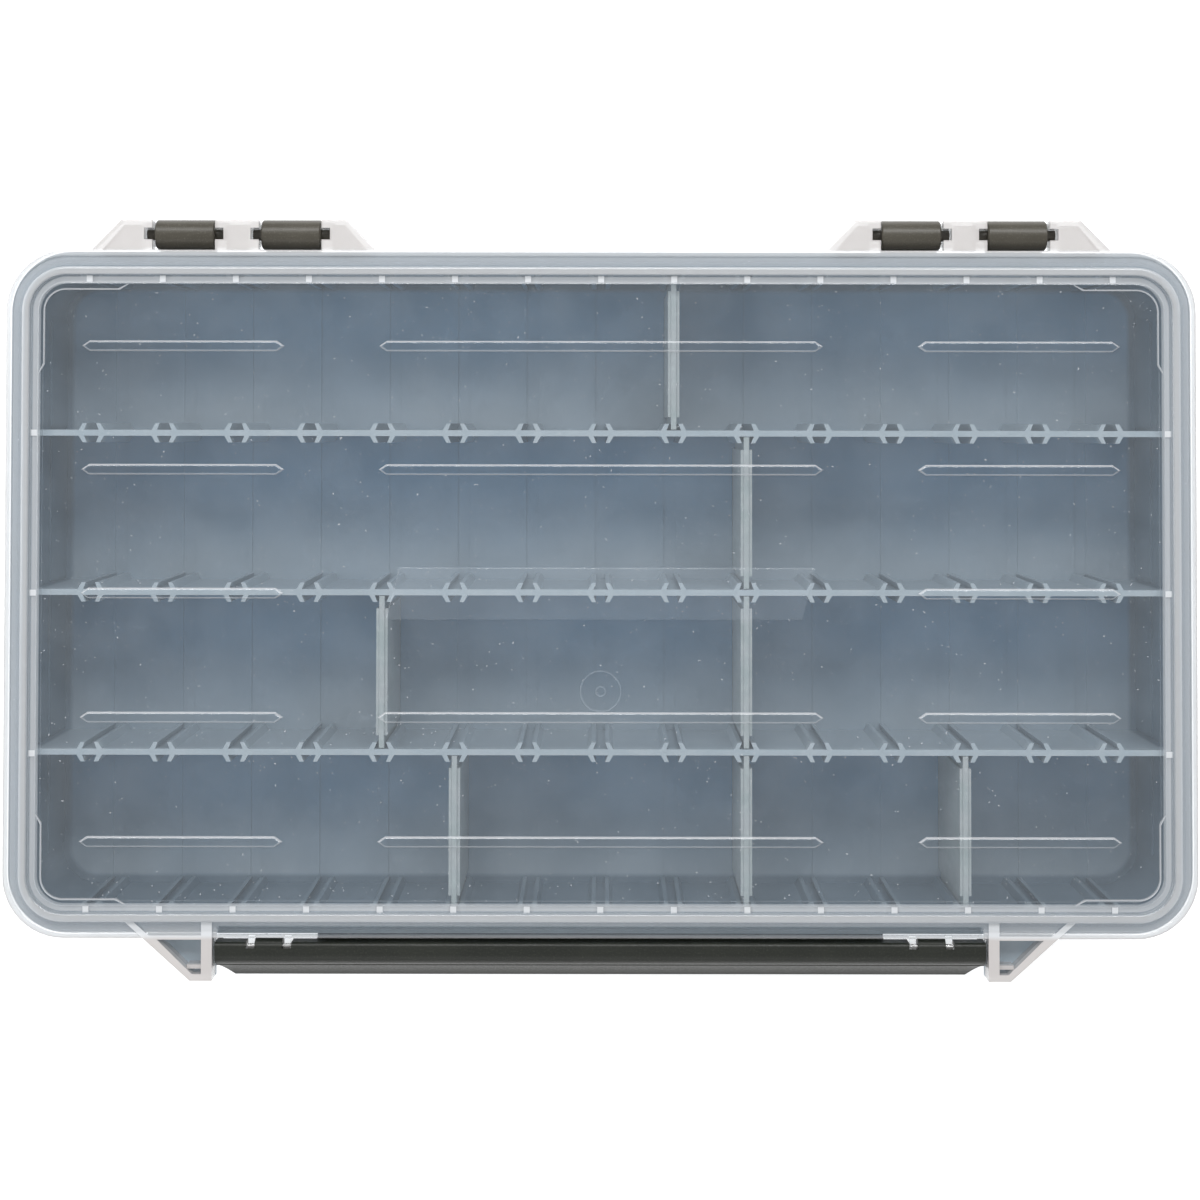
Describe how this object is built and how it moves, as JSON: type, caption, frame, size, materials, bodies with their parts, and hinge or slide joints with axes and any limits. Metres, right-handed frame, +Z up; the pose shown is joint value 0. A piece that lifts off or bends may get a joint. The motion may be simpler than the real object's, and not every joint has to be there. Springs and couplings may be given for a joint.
{
  "type": "tackle box",
  "caption": "Flat rectangular tackle box with a clear hinged lid, full-width front latch, lid seal and lift-out dividers between fixed partitions.",
  "frame": {"origin": "under the middle of the whole closed box, hinges and latch included, on the surface it stands on", "axes": "+X along the box, +Y towards the hinges, +Z up"},
  "size_m": [0.357, 0.229, 0.05],
  "materials": {
    "tray_plastic": "translucent slate-blue moulded copolymer, smooth",
    "lid_plastic": "clear moulded plastic with frosted edges",
    "divider_plastic": "translucent grey-green moulded plastic",
    "latch_plastic": "dark olive plastic with a fine spark-eroded grain",
    "hinge_plastic": "dark olive-brown plastic, fine grain",
    "seal_rubber": "pale silicone",
    "pin_steel": "plain drawn wire"
  },
  "bodies": {
    "base": {"base_tray": "tray_plastic", "hinge_knuckle_left_outer": "hinge_plastic", "hinge_knuckle_left_inner": "hinge_plastic", "hinge_knuckle_right_inner": "hinge_plastic", "hinge_knuckle_right_outer": "hinge_plastic", "divider_1": "divider_plastic", "divider_2": "divider_plastic", "divider_3": "divider_plastic", "divider_4": "divider_plastic", "divider_5": "divider_plastic", "divider_6": "divider_plastic", "divider_7": "divider_plastic"},
    "lid": {"lid": "lid_plastic", "lid_seal": "seal_rubber", "latch_pin_left": "pin_steel", "latch_pin_right": "pin_steel"},
    "latch": {"latch": "latch_plastic"}
  },
  "joints": [
    {"name": "lid_hinge", "type": "hinge", "parent": "base", "child": "lid", "pos_m": [0, 0.11, 0.042], "axis": [-1, 0, 0], "range_deg": [0, 180]},
    {"name": "latch_hinge", "type": "hinge", "parent": "lid", "child": "latch", "pos_m": [0, -0.1033, 0.045], "axis": [-1, 0, 0], "range_deg": [0, 90]}
  ]
}
